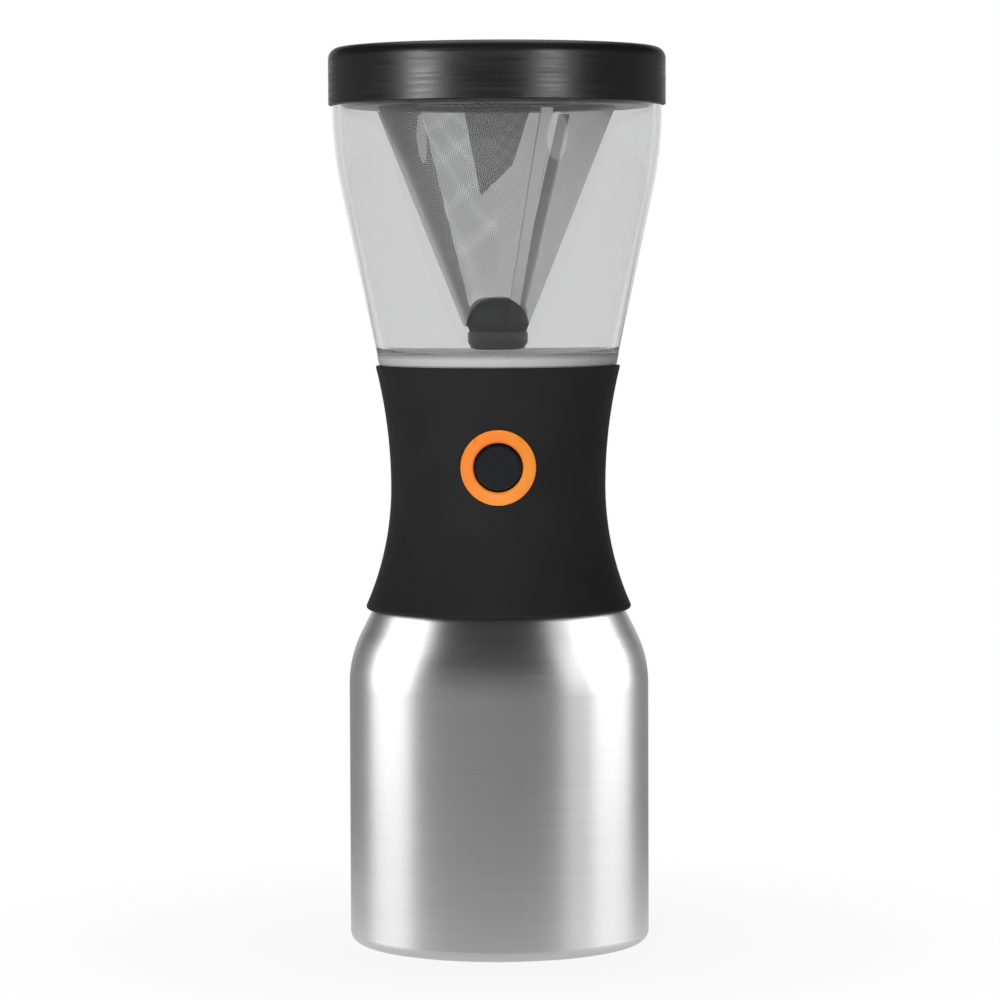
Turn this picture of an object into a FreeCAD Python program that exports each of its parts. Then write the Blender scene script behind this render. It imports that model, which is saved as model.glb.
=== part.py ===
import FreeCAD, Part
import math
import os

# Cold brew coffee maker: a steel carafe, a brewer screwed on its mouth with a clear
# vessel, a waisted neck and a drain valve worked by a front button, a mesh filter
# hung in the vessel, and a lid.
# Millimetres, +Z up, origin at the centre of the base. The button faces -Y.

# Driving sizes: carafe
carafe_radius = 55.3
carafe_corner_height = 105.7
carafe_wall = 0.8
base_edge_bend = 4.0
base_lip_width = 8.0
base_disc_wall = 0.8
base_disc_recess = 1.4
base_disc_inset = 4.0
base_disc_run = 2.5
base_disc_bend = 1.3
shoulder_bend = 42.0
shoulder_rise = 19.1
shoulder_gap = 1.8
shoulder_edge_bend = 3.0
collar_rise = 6.5
collar_bend = 2.0
mouth_radius = 34.0
mouth_height = 14.5
vacuum_gap = 3.2
liner_wall = 0.7

# Driving sizes: neck and its soft sleeve
sleeve_overlap = 1.5
sleeve_wall = 2.0
sleeve_hem_bend = 1.2
sleeve_lip_bend = 0.6
waist_margin = 5.6
waist_height = 45.3
neck_upper_height = 44.7
lower_flare_radius = 108.0
upper_flare_radius = 182.0
neck_wall = 2.2
neck_fit = 0.1
neck_foot_height = 6.5
sleeve_rib = 1.6
mouth_seal_height = 2.0
deck_wall = 3.0
skirt_wall = 2.4
thread_depth = 2.0
gasket_height = 1.0

# Driving sizes: clear vessel
vessel_wall = 3.0
vessel_foot_inset = 1.3
vessel_cone_height = 79.1
vessel_rim_radius = 60.55
vessel_height = 106.0
vessel_bend = 144.0
vessel_rim_bend = 1.2
floor_bend = 5.0
drain_bend = 2.0
floor_slope = 9.0
floor_clearance = 0.4
spigot_wall = 2.5
spigot_depth = 10.0
spigot_fit = 0.2
drain_radius = 7.5
boss_wall = 1.7
valve_top_gap = 0.8

# Driving sizes: button, push rod and fork
button_drop = 8.7
button_radius = 8.3
button_wall = 1.5
button_face_wall = 1.8
button_proud = 0.3
button_edge_bend = 0.9
button_travel = 4.0
button_flange = 1.9
button_play = 0.6
ring_radius = 13.7
ring_gap = 0.3
ring_proud = 0.6
ring_chamfer = 0.7
pad_wall = 4.0
pad_depth = 3.4
rod_radius = 5.2
rod_fit = 0.1
rod_groove_depth = 1.0
fork_root = 6.4
fork_tip = 0.3
tine_inner_x = 2.4
tine_wall = 1.8
cam_gap = 0.05

# Driving sizes: drain valve
valve_wall = 2.3
guide_seat = 0.7
boss_fit = 0.5
throat_radius = 5.6
throat_height = 2.5
seat_rise = 2.0
seat_gap = 0.1
plug_height = 5.5
plug_cap_wall = 1.5
plug_bend = 1.2
branch_wall = 1.7
branch_gap = 1.2
flange_width = 7.2
flange_wall = 2.5
stem_radius = 1.8
stem_fit = 0.05
stem_collar_height = 1.2
stem_collar_width = 1.4
pin_radius = 0.9
pin_overhang = 0.4
pin_drop = 0.9
guide_height = 3.0
guide_rim_wall = 1.4
guide_hub_wall = 1.8
guide_spoke_width = 2.0
guide_below_rod = 9.0
clip_height = 1.0
clip_radius = 4.2
spring_wire = 0.8
screw_radius = 1.5
screw_head_radius = 2.8
screw_head_height = 2.0
screw_slot_length = 3.6
screw_slot_width = 0.8
screw_slot_depth = 1.0
screw_count = 3
screw_boss_wall = 1.7
screw_boss_height = 6.0
o_ring_height = 2.0

# Driving sizes: filter and lid
filter_fit = 0.4
filter_wall = 1.6
filter_plate_width = 12.0
filter_plate_drop = 12.0
filter_plate_wall = 2.0
filter_plate_bend = 1.5
filter_flange_wall = 2.0
filter_flange_bend = 0.6
filter_inner_bend = 1.0
mesh_wall = 0.5
mesh_tip_radius = 10.4
mesh_fit = 0.15
mesh_lip = 3.0
tip_lift = 3.3
tip_height = 8.6
tip_taper_height = 5.0
tip_radius_low = 8.3
tip_radius_high = 11.1
tip_bend = 1.0
tip_floor = 2.0
tip_socket = 3.0
dome_radius = 11.0
dome_rise = 12.7
dome_bend = 6.8
seam_wall = 1.2
seam_width_high = 4.4
seam_width_low = 4.0
seam_first_angle = 24.0
seam_count = 3
lid_fit = 0.35
lid_wall = 1.1
lid_top_wall = 2.5
lid_crown = 8.0
lid_height = 21.0
lid_top_bend = 4.2
lid_hem_bend = 0.5
lid_seat_bend = 0.3
lid_seal_height = 2.0
lid_rib_width = 3.0


# Heights and radii that follow from the sizes above
def arc_run(radius, height):
    """How far an arc that starts upright moves sideways over a height."""
    return radius - math.sqrt(radius ** 2 - height ** 2)


waist_radius = mouth_radius + waist_margin
sleeve_bottom_radius = waist_radius + arc_run(lower_flare_radius, waist_height)
sleeve_top_radius = waist_radius + arc_run(upper_flare_radius, neck_upper_height)
shoulder_edge_z = carafe_corner_height + shoulder_rise
shoulder_edge_radius = sleeve_bottom_radius - sleeve_wall - shoulder_gap
collar_z = shoulder_edge_z + collar_rise
rim_z = collar_z + mouth_height
liner_rim_z = rim_z + liner_wall
mouth_inner_radius = mouth_radius - carafe_wall - vacuum_gap - liner_wall

sleeve_bottom_z = shoulder_edge_z - sleeve_overlap
waist_z = sleeve_bottom_z + waist_height
sleeve_top_z = waist_z + neck_upper_height
neck_bottom_z = sleeve_bottom_z + neck_foot_height
neck_top_z = sleeve_top_z - gasket_height / 2
deck_bottom_z = liner_rim_z + mouth_seal_height
deck_top_z = deck_bottom_z + deck_wall
skirt_radius = mouth_radius + thread_depth

vessel_foot_z = neck_top_z + gasket_height
vessel_foot_radius = sleeve_top_radius - vessel_foot_inset
vessel_rim_z = vessel_foot_z + vessel_height
spigot_radius = vessel_foot_radius - vessel_wall - spigot_wall
spigot_bottom_z = vessel_foot_z - spigot_depth
vessel_bend_z = vessel_foot_z + vessel_cone_height
vessel_cone_slope = (vessel_rim_radius - vessel_foot_radius) / vessel_cone_height
vessel_wall_run = vessel_wall * math.hypot(1, vessel_cone_slope)
floor_rise = math.tan(math.radians(floor_slope))
floor_edge_z = vessel_foot_z + vessel_wall + floor_clearance
floor_edge_radius = vessel_foot_radius - vessel_wall_run + (floor_edge_z - vessel_foot_z) * vessel_cone_slope
drain_z = floor_edge_z - (floor_edge_radius - drain_radius) * floor_rise
floor_under_z = drain_z - vessel_wall / math.cos(math.radians(floor_slope))
boss_radius = drain_radius + boss_wall

button_z = sleeve_bottom_z + waist_height + button_drop
pin_z = button_z - pin_drop
fork_half_height = math.sqrt(rod_radius ** 2 - (tine_inner_x + tine_wall) ** 2) - cam_gap
pad_front = waist_radius - pad_depth
pad_back = pad_front - pad_wall
button_bore = button_radius + button_play
button_reach = waist_radius + button_proud
branch_end = pad_back - button_wall - button_travel - branch_gap
groove_start = (fork_root + branch_end) / 2 + button_travel
groove_end = groove_start + o_ring_height

valve_bore = boss_radius + boss_fit
valve_radius = valve_bore + valve_wall
guide_bore = valve_bore + guide_seat
guide_top_z = button_z - guide_below_rod
throat_bottom_z = button_z + rod_radius + rod_fit + branch_wall
throat_top_z = throat_bottom_z + throat_height
seat_top_z = throat_top_z + seat_rise
plug_top_z = throat_top_z + plug_height
boss_bottom_z = plug_top_z + button_travel + o_ring_height
valve_top_z = floor_under_z - valve_top_gap
flange_radius = valve_radius + flange_width
screw_circle = valve_radius + flange_width / 2
flange_top_z = deck_top_z + flange_wall
clip_z = deck_top_z + clip_height
clip_top_z = clip_z + clip_height

filter_radius = vessel_rim_radius - vessel_wall - filter_fit
filter_top_z = vessel_rim_z + filter_flange_wall
plate_z = vessel_rim_z - filter_plate_drop
plate_top_z = plate_z + filter_plate_wall
plate_inner_radius = filter_radius - filter_wall - filter_plate_width
tip_bottom_z = vessel_foot_z + tip_lift
tip_top_z = tip_bottom_z + tip_height
mesh_bottom_z = tip_top_z - tip_socket
mesh_slope = (plate_inner_radius - mesh_fit - mesh_tip_radius) / (plate_z - tip_top_z)
lid_radius = vessel_rim_radius + lid_fit + lid_wall
lid_seal_top_z = filter_top_z + lid_seal_height
lid_top_z = filter_top_z + lid_crown
lid_bottom_z = lid_top_z - lid_height

AXIS = FreeCAD.Vector(0, 0, 1)
ORIGIN = FreeCAD.Vector(0, 0, 0)
THROUGH = "through"


# Section drawing: steps are (r, z), (r, z, bend) for a rounded corner, and
# (r, z, THROUGH) for a point that an arc passes on its way to the next step
def full_step(step):
    return step if len(step) == 3 else (step[0], step[1], 0.0)


def bend_points(before, corner, after, bend):
    corner_at = FreeCAD.Vector(corner[0], 0, corner[1])
    back = (FreeCAD.Vector(before[0], 0, before[1]) - corner_at).normalize()
    ahead = (FreeCAD.Vector(after[0], 0, after[1]) - corner_at).normalize()
    half = back.getAngle(ahead) / 2
    reach = bend / math.tan(half)
    middle = (back + ahead).normalize() * (bend / math.sin(half) - bend)
    return corner_at + back * reach, corner_at + middle, corner_at + ahead * reach


def section(steps):
    steps = [full_step(step) for step in steps]
    count = len(steps)
    entry, leave, edges = {}, {}, []
    for i, (r, z, bend) in enumerate(steps):
        if bend == THROUGH:
            continue
        entry[i] = leave[i] = FreeCAD.Vector(r, 0, z)
        if bend > 0:
            points = bend_points(steps[i - 1], steps[i], steps[(i + 1) % count], bend)
            entry[i], leave[i] = points[0], points[2]
            edges.append((i, Part.Arc(*points).toShape()))
    for i in entry:
        ahead = (i + 1) % count
        if steps[ahead][2] == THROUGH:
            middle = FreeCAD.Vector(steps[ahead][0], 0, steps[ahead][1])
            end = entry[(i + 2) % count]
            edges.append((i + 0.5, Part.Arc(leave[i], middle, end).toShape()))
        elif leave[i].distanceToPoint(entry[ahead]) > 1e-6:
            edges.append((i + 0.5, Part.LineSegment(leave[i], entry[ahead]).toShape()))
    edges.sort(key=lambda edge: edge[0])
    return Part.Face(Part.Wire([edge for _, edge in edges]))


def turned(*steps):
    return section(steps).revolve(ORIGIN, AXIS, 360)


def moved_left(steps, distance):
    """The open path moved to its left by distance, with its bends kept concentric."""
    steps = [full_step(step) for step in steps]
    lines = []
    for a, b in zip(steps, steps[1:]):
        length = math.hypot(b[0] - a[0], b[1] - a[1])
        along = ((b[0] - a[0]) / length, (b[1] - a[1]) / length)
        start = (a[0] - along[1] * distance, a[1] + along[0] * distance)
        end = (b[0] - along[1] * distance, b[1] + along[0] * distance)
        lines.append((start, along, end))
    moved = [(*lines[0][0], 0.0)]
    for (start, one, _), (other, two, _), corner in zip(lines, lines[1:], steps[1:]):
        turn = one[0] * two[1] - one[1] * two[0]
        step_on = ((other[0] - start[0]) * two[1] - (other[1] - start[1]) * two[0]) / turn
        bend = corner[2]
        if bend > 0:
            bend = max(bend - math.copysign(distance, turn), 0.0)
        moved.append((start[0] + one[0] * step_on, start[1] + one[1] * step_on, bend))
    return moved + [(*lines[-1][2], 0.0)]


def wall_along(steps, wall):
    return turned(*steps, *reversed(moved_left(steps, wall)))


def ring(inner, outer, bottom, top):
    return turned((inner, bottom), (outer, bottom), (outer, top), (inner, top))


def rod(radius, bottom, top):
    return Part.makeCylinder(radius, top - bottom, FreeCAD.Vector(0, 0, bottom))


def forward(shape):
    """Turns a shape drawn upwards so that it points to the front along the button's axis."""
    shape = shape.copy()
    shape.rotate(ORIGIN, FreeCAD.Vector(1, 0, 0), 90)
    shape.translate(FreeCAD.Vector(0, 0, button_z))
    return shape


def around(shape, angles):
    copies = []
    for angle in angles:
        copy = shape.copy()
        copy.rotate(ORIGIN, AXIS, angle)
        copies.append(copy)
    return copies


# The neck's outline: two arcs that meet upright at the waist
def neck_radius(z, inset):
    flare = lower_flare_radius if z < waist_z else upper_flare_radius
    return waist_radius - inset + arc_run(flare + inset, z - waist_z)


def neck_side(bottom, top, inset):
    """Steps up the neck at a depth of inset under the sleeve's face."""
    low = (bottom + waist_z) / 2
    high = (top + waist_z) / 2
    return [
        (neck_radius(bottom, inset), bottom),
        (neck_radius(low, inset), low, THROUGH),
        (waist_radius - inset, waist_z),
        (neck_radius(high, inset), high, THROUGH),
        (neck_radius(top, inset), top),
    ]


def mesh_radius(z):
    """Outer radius of the filter cone."""
    return mesh_tip_radius + (z - tip_top_z) * mesh_slope


# Carafe
carafe_side = [
    (carafe_radius - base_lip_width, 0),
    (carafe_radius, 0, base_edge_bend),
    (carafe_radius, carafe_corner_height, shoulder_bend),
    (shoulder_edge_radius, shoulder_edge_z, shoulder_edge_bend),
    (mouth_radius, collar_z, collar_bend),
    (mouth_radius, rim_z),
]


def carafe_shell():
    return wall_along(carafe_side, carafe_wall)


def carafe_liner():
    outside = moved_left(carafe_side, carafe_wall + vacuum_gap)
    inside = moved_left(carafe_side, carafe_wall + vacuum_gap + liner_wall)
    outside[0] = (0, outside[0][1])
    inside[0] = (0, inside[0][1])
    inside[-1] = (inside[-1][0], liner_rim_z)
    rim = [(mouth_radius, rim_z), (mouth_radius, liner_rim_z)]
    return turned(*outside, *rim, *reversed(inside))


def carafe_base():
    lip_radius = carafe_radius - base_lip_width
    rest_z = carafe_wall
    rise_z = rest_z + base_disc_recess
    steps = [
        (0, rise_z),
        (lip_radius - base_disc_inset, rise_z, base_disc_bend),
        (lip_radius - base_disc_inset + base_disc_run, rest_z, base_disc_bend),
        (lip_radius + base_lip_width / 4, rest_z),
    ]
    return wall_along(steps, base_disc_wall)


def mouth_seal():
    return ring(mouth_inner_radius + liner_wall, mouth_radius + liner_wall, liner_rim_z, deck_bottom_z)


# Neck
def screw_places():
    return [60.0 + 360.0 * i / screw_count for i in range(screw_count)]


def neck_shell():
    outer = sleeve_wall + neck_fit
    middle = outer + neck_wall / 2
    inner = outer + neck_wall
    socket = spigot_radius + spigot_fit
    socket_z = spigot_bottom_z - gasket_height
    wall = turned(
        *neck_side(neck_bottom_z, neck_top_z, outer),
        (socket, neck_top_z),
        (socket, socket_z),
        *reversed(neck_side(neck_bottom_z, socket_z - neck_wall, inner)),
    )
    deck = turned(
        (guide_bore, deck_bottom_z),
        (neck_radius(deck_bottom_z, middle), deck_bottom_z),
        (neck_radius(deck_top_z, middle), deck_top_z),
        (guide_bore, deck_top_z),
    )
    skirt = ring(skirt_radius, skirt_radius + skirt_wall, collar_z + thread_depth, deck_bottom_z)
    shell = wall.fuse([deck, skirt])
    pocket = forward(rod(ring_radius + ring_gap, pad_front, pad_front + 2 * sleeve_wall + neck_wall))
    pad = forward(rod(ring_radius, pad_back, pad_front))
    shell = shell.cut(pocket).fuse(pad)
    shell = shell.cut(forward(rod(button_bore, pad_back - neck_wall, pad_front + sleeve_wall)))
    boss = rod(screw_radius + screw_boss_wall, deck_bottom_z - screw_boss_height, deck_bottom_z)
    pilot = rod(screw_radius, deck_bottom_z - screw_boss_height + deck_wall / 2, deck_top_z)
    for shape in (boss, pilot):
        shape.translate(FreeCAD.Vector(screw_circle, 0, 0))
    shell = shell.fuse(around(boss, screw_places()))
    return shell.cut(around(pilot, screw_places())).removeSplitter()


def neck_sleeve():
    rib_radius = neck_radius(neck_bottom_z, sleeve_wall) - sleeve_rib
    rib_z = neck_bottom_z - sleeve_rib / 2
    outer = neck_side(sleeve_bottom_z, sleeve_top_z, 0)
    upper = neck_side(neck_bottom_z, sleeve_top_z, sleeve_wall)
    low_z = (sleeve_bottom_z + rib_z) / 2
    sleeve = turned(
        *outer,
        *reversed(upper),
        (rib_radius, neck_bottom_z),
        (rib_radius, rib_z),
        (neck_radius(rib_z, sleeve_wall), rib_z),
        (neck_radius(low_z, sleeve_wall), low_z, THROUGH),
        (neck_radius(sleeve_bottom_z, sleeve_wall), sleeve_bottom_z),
    )
    sleeve = sleeve.makeFillet(sleeve_hem_bend, rim_edges(sleeve, sleeve_bottom_radius, sleeve_bottom_z))
    sleeve = sleeve.makeFillet(sleeve_lip_bend, rim_edges(sleeve, sleeve_top_radius, sleeve_top_z))
    hole = forward(rod(ring_radius + ring_gap, pad_front - sleeve_wall, waist_radius + button_travel * 2))
    return sleeve.cut(hole)


def rim_edges(shape, radius, z):
    """Edges that lie on the circle of this radius at this height."""
    return [
        edge for edge in shape.Edges
        if all(abs(math.hypot(p.x, p.y) - radius) + abs(p.z - z) < 0.01 for p in edge.discretize(5))
    ]


def button_ring():
    blank = forward(
        turned(
            (button_bore, pad_front),
            (ring_radius, pad_front),
            (ring_radius, waist_radius + ring_radius),
            (button_bore, waist_radius + ring_radius),
        )
    )
    bottom = button_z - 2 * ring_radius
    top = button_z + 2 * ring_radius
    saddle = turned((0, bottom), *neck_side(bottom, top, -ring_proud), (0, top))
    body = blank.common(saddle)
    mouth = [edge for edge in body.Edges if is_front_mouth(edge)]
    return body.makeChamfer(ring_chamfer, mouth) if mouth else body


def is_front_mouth(edge):
    """Edges of the ring's bore that lie on its front."""
    points = edge.discretize(7)
    near = [math.hypot(p.x, p.z - button_z) for p in points]
    on_bore = max(abs(distance - button_bore) for distance in near) < 0.01
    return on_bore and max(p.y for p in points) < -pad_front - ring_proud


# Drain valve
def valve_body():
    body = turned(
        (guide_bore, deck_top_z),
        (flange_radius, deck_top_z),
        (flange_radius, flange_top_z),
        (valve_radius, flange_top_z),
        (valve_radius, valve_top_z),
        (valve_bore, valve_top_z),
        (valve_bore, seat_top_z),
        (throat_radius + seat_rise, seat_top_z),
        (throat_radius, throat_top_z),
        (throat_radius, throat_bottom_z),
        (valve_bore, throat_bottom_z),
        (valve_bore, guide_top_z),
        (guide_bore, guide_top_z),
    )
    bore = rod_radius + rod_fit
    branch = forward(rod(bore + branch_wall, valve_bore + valve_wall / 2, branch_end))
    body = body.fuse(branch).cut(forward(rod(bore, valve_bore / 2, branch_end + branch_wall)))
    hole = rod(screw_radius + rod_fit, deck_top_z - 1, flange_top_z + 1)
    hole.translate(FreeCAD.Vector(screw_circle, 0, 0))
    return body.cut(around(hole, screw_places())).removeSplitter()


def stem_guide():
    bottom_z = guide_top_z - guide_height
    outer = guide_bore - rod_fit
    bore = stem_radius + stem_fit
    rim = ring(outer - guide_rim_wall, outer, bottom_z, guide_top_z)
    hub = ring(bore, bore + guide_hub_wall, bottom_z, guide_top_z)
    spoke_start = bore + guide_hub_wall / 2
    spoke_length = outer - guide_rim_wall / 2 - spoke_start
    spoke_corner = FreeCAD.Vector(spoke_start, -guide_spoke_width / 2, bottom_z)
    spoke = Part.makeBox(spoke_length, guide_spoke_width, guide_height, spoke_corner)
    return rim.fuse([hub] + around(spoke, (30.0, 150.0, 270.0))).removeSplitter()


def boss_seal():
    bottom_z = boss_bottom_z + o_ring_height
    return ring(boss_radius - o_ring_height / 2, valve_bore - stem_fit, bottom_z, bottom_z + o_ring_height)


def deck_screws():
    head = rod(screw_head_radius, flange_top_z, flange_top_z + screw_head_height)
    shank = rod(screw_radius - stem_fit, deck_bottom_z - deck_wall / 2, flange_top_z)
    slot_z = flange_top_z + screw_head_height - screw_slot_depth
    slot_corner = FreeCAD.Vector(-screw_slot_length / 2, -screw_slot_width / 2, slot_z)
    slot = Part.makeBox(screw_slot_length, screw_slot_width, screw_slot_depth, slot_corner)
    screw = head.fuse(shank).cut(slot).removeSplitter()
    screw.translate(FreeCAD.Vector(screw_circle, 0, 0))
    return Part.makeCompound(around(screw, screw_places()))


def stopper_plug():
    slack = seat_gap * math.sqrt(2)
    bore_top = plug_top_z - plug_cap_wall
    return turned(
        (stem_radius, throat_top_z),
        (throat_radius - slack, throat_top_z),
        (throat_radius + seat_rise - slack, seat_top_z),
        (throat_radius + seat_rise - slack, plug_top_z, plug_bend),
        (0, plug_top_z),
        (0, bore_top),
        (stem_radius, bore_top),
    )


def stopper_stem():
    collar_low_z = throat_top_z - stem_collar_height
    collar_radius = stem_radius + stem_collar_width
    top_z = plug_top_z - plug_cap_wall
    stem = turned(
        (0, deck_top_z),
        (stem_radius, deck_top_z),
        (stem_radius, collar_low_z),
        (collar_radius, collar_low_z),
        (collar_radius, throat_top_z),
        (stem_radius, throat_top_z),
        (stem_radius, top_z),
        (0, top_z),
    )
    return stem.cut(cross_pin(pin_radius, stem_radius + 1))


def cross_pin(radius, half_length):
    return Part.makeCylinder(
        radius, 2 * half_length, FreeCAD.Vector(-half_length, 0, pin_z), FreeCAD.Vector(1, 0, 0)
    )


def stem_pin():
    return cross_pin(pin_radius, tine_inner_x + tine_wall + pin_overhang)


def stem_clip():
    return ring(stem_radius, clip_radius, clip_z, clip_top_z)


def valve_spring():
    inner = stem_radius + spring_wire / 2
    return ring(inner, inner + spring_wire, clip_top_z, guide_top_z - guide_height)


# Button, rod and fork
def button_cap():
    inside = button_reach - button_face_wall
    key = rod_radius / 2
    return forward(
        turned(
            (0, button_reach),
            (button_radius, button_reach, button_edge_bend),
            (button_radius, pad_back),
            (button_radius + button_flange, pad_back),
            (button_radius + button_flange, pad_back - button_wall),
            (button_radius - button_wall, pad_back - button_wall),
            (button_radius - button_wall, inside),
            (key, inside),
            (key, inside - button_wall * 2),
            (0, inside - button_wall * 2),
        )
    )


def push_rod():
    end = button_reach - button_face_wall
    key = rod_radius / 2 + stem_fit
    groove_radius = rod_radius - rod_groove_depth
    shaft = forward(
        turned(
            (0, fork_root),
            (rod_radius, fork_root),
            (rod_radius, groove_start),
            (groove_radius, groove_start),
            (groove_radius, groove_end),
            (rod_radius, groove_end),
            (rod_radius, end),
            (key, end),
            (key, end - button_wall * 2 - stem_fit),
            (0, end - button_wall * 2 - stem_fit),
        )
    )
    cam = pin_z - (pin_radius + cam_gap) * math.sqrt(2)
    low = button_z - fork_half_height
    high = button_z + fork_half_height
    outline = [
        (-fork_root - 1, low),
        (fork_tip, low),
        (fork_tip, cam - fork_tip),
        (cam - high, high),
        (-fork_root - 1, high),
    ]
    corners = [FreeCAD.Vector(tine_inner_x, y, z) for y, z in outline]
    tine = Part.Face(Part.makePolygon(corners + corners[:1])).extrude(FreeCAD.Vector(tine_wall, 0, 0))
    return shaft.fuse([tine, tine.mirror(ORIGIN, FreeCAD.Vector(1, 0, 0))]).removeSplitter()


def rod_seal():
    return forward(ring(rod_radius - rod_groove_depth, rod_radius + rod_fit / 2, groove_start, groove_end))


def button_spring():
    inner = rod_radius + spring_wire / 2
    return forward(ring(inner, inner + spring_wire, branch_end, button_reach - button_face_wall))


# Vessel
def vessel():
    inner_rim = vessel_rim_radius - vessel_wall
    inner_bend_z = vessel_bend_z + (vessel_wall_run - vessel_wall) / vessel_cone_slope
    groove_z = boss_bottom_z + o_ring_height
    groove_radius = boss_radius - o_ring_height / 2
    spigot_inner = spigot_radius - spigot_wall
    return turned(
        (drain_radius, boss_bottom_z),
        (boss_radius, boss_bottom_z),
        (boss_radius, groove_z),
        (groove_radius, groove_z),
        (groove_radius, groove_z + o_ring_height),
        (boss_radius, groove_z + o_ring_height),
        (boss_radius, floor_under_z + (boss_radius - drain_radius) * floor_rise),
        (spigot_inner, floor_under_z + (spigot_inner - drain_radius) * floor_rise),
        (spigot_inner, spigot_bottom_z),
        (spigot_radius, spigot_bottom_z),
        (spigot_radius, vessel_foot_z),
        (vessel_foot_radius, vessel_foot_z),
        (vessel_rim_radius, vessel_bend_z, vessel_bend),
        (vessel_rim_radius, vessel_rim_z, vessel_rim_bend),
        (inner_rim, vessel_rim_z, vessel_rim_bend),
        (inner_rim, inner_bend_z, vessel_bend - vessel_wall),
        (floor_edge_radius, floor_edge_z, floor_bend),
        (drain_radius, drain_z, drain_bend),
    )


def vessel_gasket():
    return ring(spigot_radius + spigot_fit, neck_radius(neck_top_z, sleeve_wall + neck_fit) - neck_fit,
                neck_top_z, vessel_foot_z)


# Filter
def filter_ring():
    seat = mesh_slope * filter_plate_wall
    return turned(
        (plate_inner_radius, plate_z),
        (filter_radius, plate_z, filter_plate_bend),
        (filter_radius, vessel_rim_z),
        (vessel_rim_radius - lid_fit, vessel_rim_z),
        (vessel_rim_radius - lid_fit, filter_top_z, filter_flange_bend),
        (filter_radius - filter_wall, filter_top_z, filter_flange_bend),
        (filter_radius - filter_wall, plate_top_z, filter_inner_bend),
        (plate_inner_radius + seat, plate_top_z),
    )


def filter_mesh():
    run = mesh_wall * math.hypot(1, mesh_slope)
    lip_z = plate_top_z + mesh_wall
    return turned(
        (mesh_radius(mesh_bottom_z) - run, mesh_bottom_z),
        (mesh_radius(mesh_bottom_z), mesh_bottom_z),
        (mesh_radius(plate_top_z), plate_top_z),
        (mesh_radius(plate_top_z) + mesh_lip, plate_top_z),
        (mesh_radius(plate_top_z) + mesh_lip, lip_z),
        (mesh_radius(lip_z) - run, lip_z),
    )


def filter_seams():
    bottom = tip_top_z + seam_width_low / 2
    top = plate_z - seam_wall
    run = seam_wall * math.hypot(1, mesh_slope)
    cone = turned(
        (mesh_radius(bottom), bottom),
        (mesh_radius(bottom) + run, bottom),
        (mesh_radius(top) + run, top),
        (mesh_radius(top), top),
    )
    low, high = seam_width_low / 2, seam_width_high / 2
    corners = [(-low, bottom), (low, bottom), (high, top), (-high, top), (-low, bottom)]
    outline = Part.makePolygon([FreeCAD.Vector(x, 0, z) for x, z in corners])
    wedge = Part.Face(outline).extrude(FreeCAD.Vector(0, -filter_radius, 0))
    angles = [seam_first_angle + 360.0 * i / seam_count for i in range(seam_count)]
    return Part.makeCompound(around(cone.common(wedge), angles))


def filter_tip():
    socket_high = mesh_radius(tip_top_z) + neck_fit
    socket_low = mesh_radius(mesh_bottom_z) + neck_fit
    plug_low = socket_low - 2 * mesh_wall - neck_fit
    return turned(
        (0, tip_bottom_z),
        (tip_radius_low, tip_bottom_z, tip_bend),
        (tip_radius_high, tip_bottom_z + tip_taper_height, tip_bend),
        (tip_radius_high, tip_top_z),
        (socket_high, tip_top_z),
        (socket_low, mesh_bottom_z),
        (plug_low, mesh_bottom_z),
        (plug_low, tip_bottom_z + tip_floor),
        (0, tip_bottom_z + tip_floor),
    )


def filter_plug():
    run = mesh_wall * math.hypot(1, mesh_slope) + neck_fit
    plug_low = mesh_radius(mesh_bottom_z) - 2 * mesh_wall - neck_fit
    start_z = mesh_bottom_z + neck_fit
    leave_z = mesh_bottom_z + (dome_radius + run - mesh_radius(mesh_bottom_z)) / mesh_slope
    return turned(
        (0, tip_bottom_z + tip_floor),
        (plug_low, tip_bottom_z + tip_floor),
        (plug_low, start_z),
        (mesh_radius(start_z) - run, start_z),
        (dome_radius, leave_z),
        (dome_radius, tip_top_z + dome_rise, dome_bend),
        (0, tip_top_z + dome_rise),
    )


# Lid
def lid_cap():
    skirt = vessel_rim_radius + lid_fit
    under_z = lid_top_z - lid_top_wall
    rib_outer = vessel_rim_radius - lid_fit
    rib_inner = rib_outer - lid_rib_width
    return turned(
        (skirt, lid_bottom_z),
        (lid_radius, lid_bottom_z, lid_hem_bend),
        (lid_radius, lid_top_z, lid_top_bend),
        (0, lid_top_z),
        (0, under_z),
        (rib_inner, under_z),
        (rib_inner, lid_seal_top_z),
        (rib_outer, lid_seal_top_z),
        (rib_outer, under_z),
        (skirt, under_z, lid_seat_bend),
    )


def lid_seal():
    outer = vessel_rim_radius - lid_fit
    return ring(outer - lid_rib_width, outer, filter_top_z, lid_seal_top_z)


PIECES = (
    carafe_shell,
    carafe_liner,
    carafe_base,
    mouth_seal,
    neck_shell,
    neck_sleeve,
    button_ring,
    valve_body,
    stem_guide,
    boss_seal,
    deck_screws,
    stopper_plug,
    stopper_stem,
    stem_pin,
    stem_clip,
    valve_spring,
    button_cap,
    push_rod,
    rod_seal,
    button_spring,
    vessel,
    vessel_gasket,
    filter_ring,
    filter_mesh,
    filter_seams,
    filter_tip,
    filter_plug,
    lid_cap,
    lid_seal,
)

os.makedirs("parts", exist_ok=True)
for piece in PIECES:
    shape = piece()
    shape.exportStep(f"parts/{piece.__name__}.step")
    box = shape.BoundBox
    print(f"{piece.__name__}: {len(shape.Solids)} solid, valid {shape.isValid()}, "
          f"volume {shape.Volume:.0f}, z {box.ZMin:.1f} to {box.ZMax:.1f}, radius {box.XMax:.1f}")
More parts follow.
